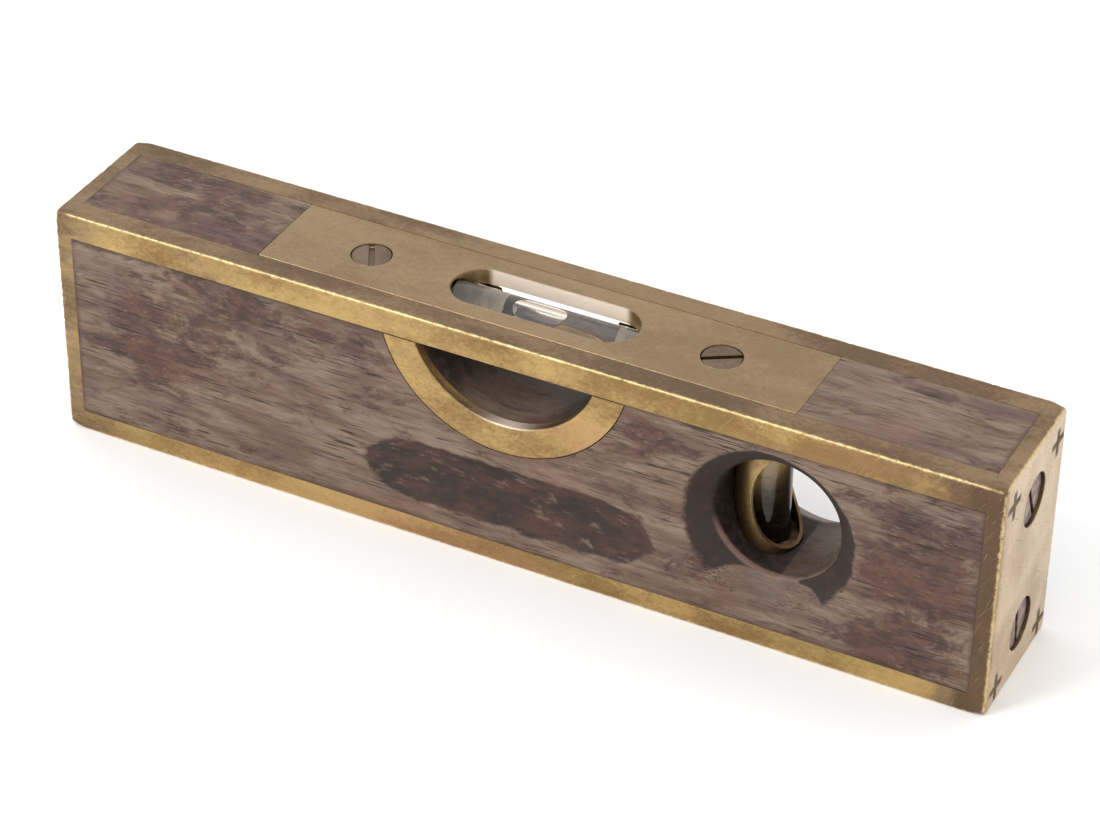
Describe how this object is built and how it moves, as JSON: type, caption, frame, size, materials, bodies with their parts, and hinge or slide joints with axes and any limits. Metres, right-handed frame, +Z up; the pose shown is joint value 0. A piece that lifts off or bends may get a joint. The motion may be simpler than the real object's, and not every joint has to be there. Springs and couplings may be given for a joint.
{
  "type": "spirit level",
  "caption": "Pocket spirit level: brass-bound rosewood bar with a slotted top plate over a level vial, round side sights, finger grooves and a plumb vial in a flared hole.",
  "frame": {"origin": "middle of the underside, on the surface the level stands on", "axes": "+X along the length towards the plumb vial, +Y through the width from front to rear, +Z up towards the top plate"},
  "size_m": [0.158, 0.0244, 0.0407],
  "materials": {
    "rosewood": "worn open-grained rosewood, dry and dull",
    "brass": "old brass, handled bright on the edges, nicked and scratched",
    "plate_brass": "old brass with an olive-brown patina",
    "case_brass": "dark oxidised brass tube",
    "screw_metal": "dark patinated steel",
    "glass": "clear vial glass",
    "spirit": "clear spirit",
    "bubble": "air bubble",
    "plaster": "off-white plaster of Paris, matt"
  },
  "bodies": {
    "body": {"stock": "rosewood", "rail_top_front": "brass", "rail_top_rear": "brass", "rail_bottom_front": "brass", "rail_bottom_rear": "brass", "end_plate_left": "brass", "end_plate_right": "brass", "end_screw_left_upper": "screw_metal", "end_screw_left_lower": "screw_metal", "end_screw_right_upper": "screw_metal", "end_screw_right_lower": "screw_metal", "top_plate": "plate_brass", "plate_screw_left": "plate_brass", "plate_screw_right": "plate_brass", "sight_rim_front": "brass", "sight_rim_rear": "brass", "level_case": "case_brass", "level_vial": "glass", "level_spirit": "spirit", "level_plaster_left": "plaster", "level_plaster_right": "plaster", "plumb_case": "case_brass", "plumb_vial": "glass", "plumb_spirit": "spirit", "plumb_plaster_lower": "plaster", "plumb_plaster_upper": "plaster"},
    "level_bubble_body": {"level_bubble": "bubble"},
    "plumb_bubble_body": {"plumb_bubble": "bubble"}
  },
  "joints": [
    {"name": "level_bubble_slide", "type": "slide", "parent": "body", "child": "level_bubble_body", "axis": [1, 0, 0], "range_m": [-0.01, 0.01], "stiffness_N_per_m": 0.5},
    {"name": "plumb_bubble_slide", "type": "slide", "parent": "body", "child": "plumb_bubble_body", "axis": [0, 0, 1], "range_m": [-0.02, 0], "stiffness_N_per_m": 0.5, "springref_m": 0.01}
  ]
}
